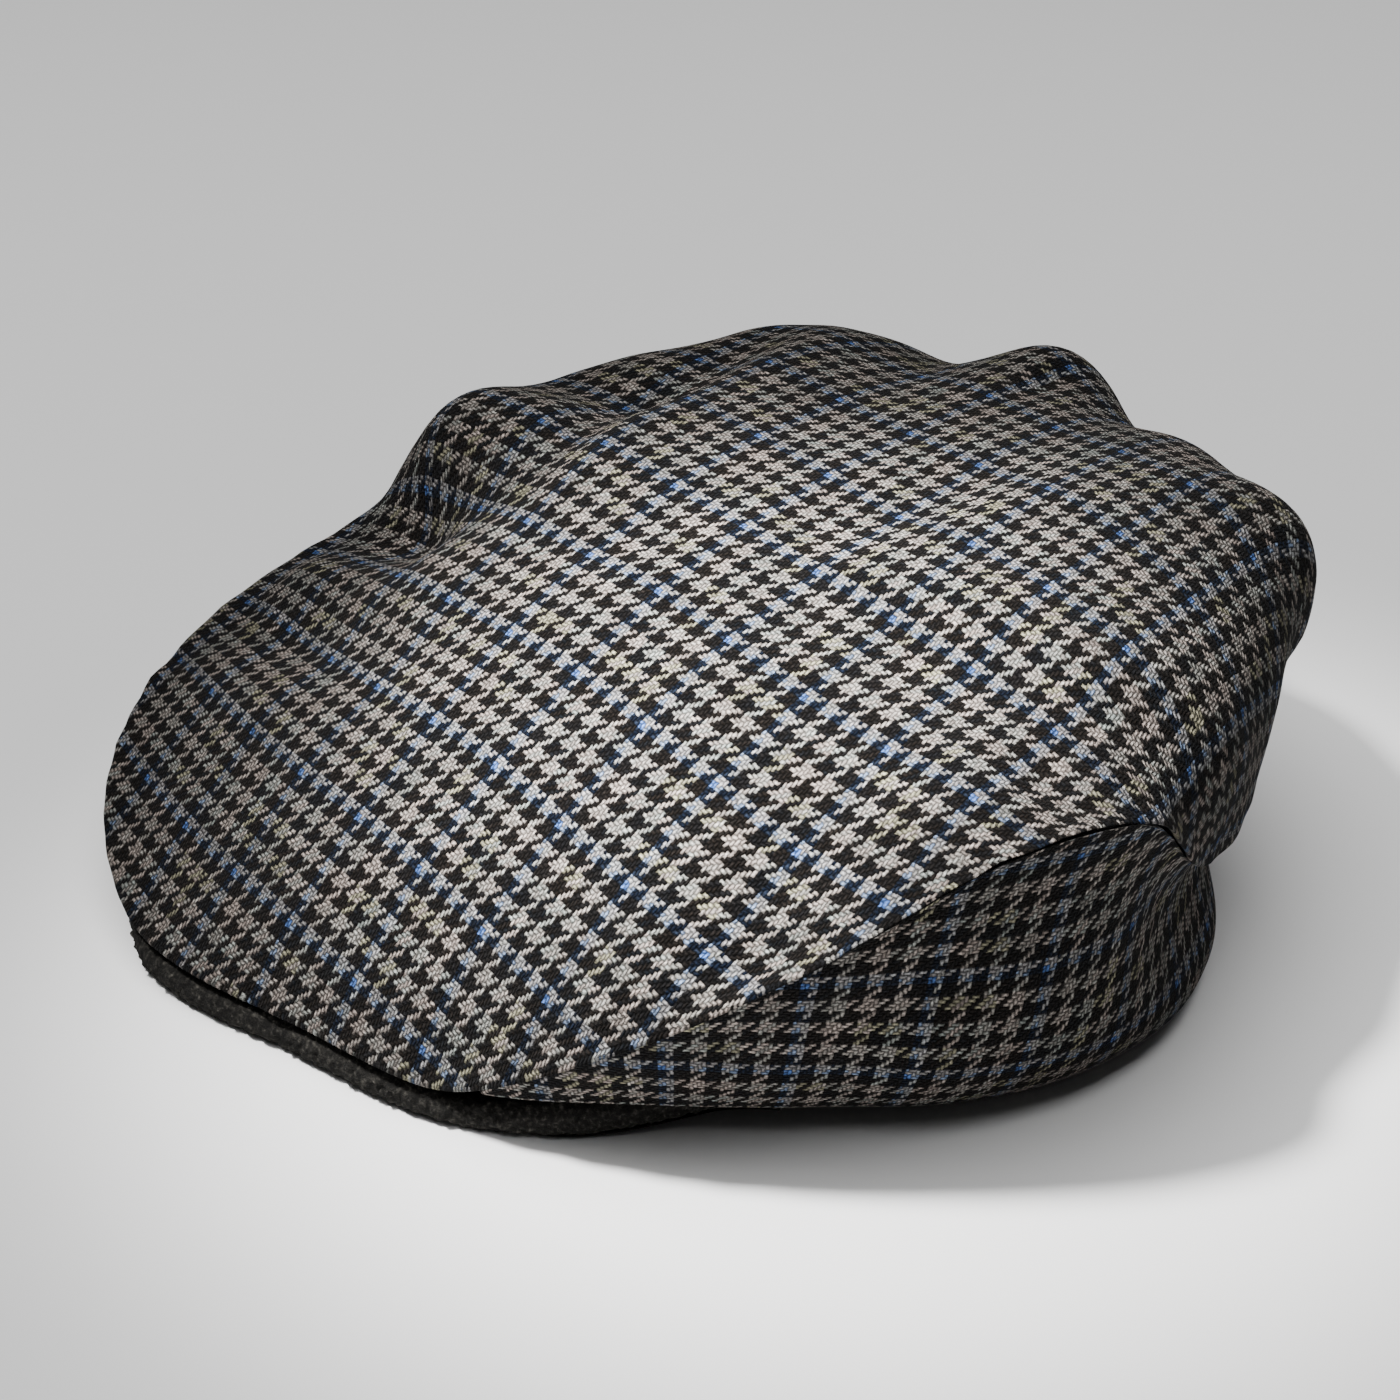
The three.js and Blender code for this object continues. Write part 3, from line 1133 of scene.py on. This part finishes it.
        # A painted pool of light at the crown's middle, fading to painted shade towards the edges
        brightness = self.brightness(net)
        warp_colour = self.colouring(net, warp, weft, self.warp_seed, brightness)
        weft_colour = self.colouring(net, weft, warp, self.weft_seed, brightness)
        colour = net.mix(warp_up, weft_colour, warp_colour)

        def swell(across: Socket) -> Socket:
            """Return a yarn's height across it, from 0 at its sides to 1."""
            return net.maths(Op.SINE, net.maths(Op.MULTIPLY, across, math.pi))

        warp_along = net.maths(Op.DIVIDE, net.maths(Op.ADD, net.maths(Op.SUBTRACT, 1.0, phase), weft_side), 2)
        weft_along = net.maths(Op.DIVIDE, net.maths(Op.ADD, net.maths(Op.SUBTRACT, phase, 2.0), warp_side), 2)
        warp_height = net.maths(Op.MULTIPLY, swell(warp_side), swell(warp_along))
        weft_height = net.maths(Op.MULTIPLY, swell(weft_side), swell(weft_along))
        yarn_height = net.blend(warp_up, weft_height, warp_height)
        place = net.place()
        fuzz = net.clouds(place, self.fuzz_scale, detail=4)
        height = net.maths(Op.ADD, yarn_height, net.maths(Op.MULTIPLY, fuzz, self.fuzz))
        # Painted shade in the gaps between the yarns and painted highlight on their crowns, from the yarns'
        # height
        painted_yarn_shading = net.blend(yarn_height, *self.painted_yarn_shading)
        # Random fibre tone, and painted highlights as glints on the fibres
        fibre_tone_and_glint = net.blend(net.maths(Op.POWER, net.clouds(place, self.fibre_glint_scale, detail=3), 2), *self.fibre_tone_and_glint)
        wear = net.blend(net.clouds(place, self.wear_scale, detail=3), *self.wear)
        # The painted yarn shading and painted glints, with random wear
        light = net.maths(Op.MULTIPLY, net.maths(Op.MULTIPLY, painted_yarn_shading, fibre_tone_and_glint), wear)
        feeds = {
            "Base Color": net.tint(colour, light),
            "Roughness": self.roughness,
            "Specular IOR Level": self.specular,
            "Sheen Weight": self.sheen,
            "Sheen Roughness": self.sheen_roughness,
        }
        net.finish(feeds, height, self.yarn_depth, self.relief)
        return net.material


@dataclass(frozen=True)
class ShadedPeakCloth:
    """The peak's cloth with painted shade: near-black for the deep shade under the folded edge, with a few
    paler flecks of its light yarns.
    """

    name: str = "peak_cloth_painted_shade"
    fleck_scale: float = 900
    fleck_power: float = 6
    fleck_gain: float = 2
    fibre_scale: float = 2400
    nap_depth: float = 0.0006
    relief: float = 0.7
    # Painted shade: the peak's tweed is coloured near-black for the deep shade it lies in under the folded
    # edge, and its paler yarns show only as dim flecks
    dark: Colour = (0.008, 0.0078, 0.0074, 1)
    fleck: Colour = (0.16, 0.15, 0.13, 1)

    def material(self) -> Material:
        """Make the finish.

        Returns:
            The material.
        """
        net = Network(self.name)
        place = net.place()
        flecks = net.maths(Op.POWER, net.clouds(place, self.fleck_scale, detail=3), self.fleck_power)
        fibres = net.clouds(place, self.fibre_scale, detail=4)
        pale = net.maths(Op.MULTIPLY, flecks, self.fleck_gain, clamp=True)
        feeds = {
            "Base Color": net.mix(pale, self.dark, self.fleck),
            "Roughness": 1.0,
            "Specular IOR Level": 0.02,
            "Sheen Weight": 0.01,
            "Sheen Roughness": 0.6,
        }
        net.finish(feeds, net.maths(Op.ADD, fibres, flecks), self.nap_depth, self.relief)
        return net.material


@dataclass(frozen=True)
class Lining:
    """Dark twilled lining on the inner faces."""

    name: str = "lining"
    colour: Colour = (0.022, 0.022, 0.024, 1)
    cloud_scale: float = 60
    rib_pitch: float = 0.9
    rib_depth: float = 0.0001
    relief: float = 0.5

    def material(self) -> Material:
        """Make the finish.

        Returns:
            The material.
        """
        net = Network(self.name)
        u, v, _ = net.split(net.cloth())
        turns = 2 * math.pi * ClothLay.window / self.rib_pitch
        rib = net.maths(Op.SINE, net.maths(Op.MULTIPLY, net.maths(Op.ADD, u, v), turns))
        cloudy = net.clouds(net.place(), self.cloud_scale)
        feeds = {
            "Base Color": net.tint(self.colour, net.blend(cloudy, 0.7, 1.3)),
            "Roughness": net.blend(cloudy, 0.42, 0.58),
            "Sheen Weight": 0.15,
        }
        net.finish(feeds, rib, self.rib_depth, self.relief)
        return net.material


@dataclass(frozen=True)
class PaleFloor:
    """A plain pale studio floor."""

    name: str = "pale_floor"
    colour: Colour = (0.85, 0.85, 0.85, 1)
    roughness: float = 0.8
    grain_scale: float = 30
    grain: tuple[float, float] = (0.985, 1.0)

    def material(self) -> Material:
        """Make the finish.

        Returns:
            The material.
        """
        net = Network(self.name)
        grain = net.blend(net.clouds(net.place(), self.grain_scale, detail=3), *self.grain)
        net.feed(net.shader, {"Base Color": net.tint(self.colour, grain), "Roughness": self.roughness})
        return net.material


# ---- Studio ----


@dataclass(frozen=True)
class SoftLight:
    """A soft light aimed at the cap: a square soft box or, with a beam, a round spotlight."""

    name: str
    azimuth: float
    elevation: float
    distance: float
    size: float
    power: float
    beam: float = 0
    target: tuple[float, float, float] = (0.0, 0.0, 0.05)
    colour: tuple[float, float, float] = (1.0, 1.0, 1.0)

    def build(self) -> None:
        """Make the light, with its azimuth from the peak's direction towards the wearer's left."""
        if self.beam:
            data = bpy.data.lights.new(self.name, "SPOT")
            data.spot_size = math.radians(self.beam)
            data.spot_blend = 1
            data.shadow_soft_size = self.size / 2
        else:
            data = bpy.data.lights.new(self.name, "AREA")
            data.size = self.size
        data.energy = self.power
        data.color = self.colour
        light = link(self.name, data)
        turn, rise = math.radians(self.azimuth), math.radians(self.elevation)
        away = Vector((math.sin(turn) * math.cos(rise), -math.cos(turn) * math.cos(rise), math.sin(rise)))
        light.location = Vector(self.target) + away * self.distance
        light.rotation_euler = (-away).to_track_quat("-Z", "Y").to_euler()


@dataclass(frozen=True)
class Studio:
    """The floor, the light and the camera."""

    floor_size: float = 6.0
    world: float = 0.05
    lens: float = 72
    sensor: float = 36
    eye: tuple[float, float, float] = (0.4505, -0.3237, 0.3656)
    sight: tuple[float, float, float] = (-0.7094, 0.4967, -0.5)
    lights: tuple[SoftLight, ...] = (
        SoftLight(
            "key", azimuth=-20, elevation=66, distance=0.7, size=0.12, power=112, beam=26,
            target=(0.034, -0.03, 0.075), colour=(1.0, 0.99, 0.98),
        ),
        SoftLight("overhead", azimuth=0, elevation=85, distance=1.8, size=1.8, power=46),
    )

    def floor(self) -> None:
        """Make the floor."""
        mesh = bpy.data.meshes.new("floor")
        bm = bmesh.new()
        bmesh.ops.create_grid(bm, x_segments=1, y_segments=1, size=self.floor_size / 2)
        bm.to_mesh(mesh)
        bm.free()
        mesh.materials.append(PaleFloor().material())
        floor = link("floor", mesh)

    def camera(self) -> None:
        """Make the camera and look through it."""
        data = bpy.data.cameras.new("camera")
        data.lens = self.lens
        data.sensor_width = self.sensor
        camera = link("camera", data)
        camera.location = self.eye
        camera.rotation_euler = Vector(self.sight).to_track_quat("-Z", "Y").to_euler()
        bpy.context.scene.camera = camera

    def surroundings(self) -> None:
        """Light the room evenly and softly."""
        world = bpy.data.worlds.new("room")
        world.use_nodes = True
        background = world.node_tree.nodes["Background"]
        background.inputs["Color"].default_value = (1, 1, 1, 1)
        background.inputs["Strength"].default_value = self.world
        bpy.context.scene.world = world

    def build(self) -> None:
        """Make all of it."""
        self.floor()
        self.camera()
        self.surroundings()
        for light in self.lights:
            light.build()


def main() -> None:
    """Build and dress the cap, then the studio round it."""
    logging.basicConfig(level=logging.INFO, format="%(name)s: %(message)s")
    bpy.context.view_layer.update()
    lining = Lining().material()
    # Two copies of one tweed with different painted light: the side panels' copy takes a weaker painted pool
    # of light than the top panel's
    shaded_side_tweed = Tweed("tweed_side", painted_light_level=1.0, painted_shade_level=0.5).material()
    pieces = [
        TopPanel().build(Tweed("tweed_top").material(), lining),
        SidePanel("left_side_panel", "side_left", 24, 179.9).build(shaded_side_tweed, lining),
        SidePanel("right_side_panel", "side_right", 180.1, 330).build(shaded_side_tweed, lining),
        Peak().build(ShadedPeakCloth().material()),
    ]
    for piece in pieces:
        log.info("%s: %d faces", piece.name, len(piece.data.polygons))
    Studio().build()


if __name__ == "__main__":
    main()
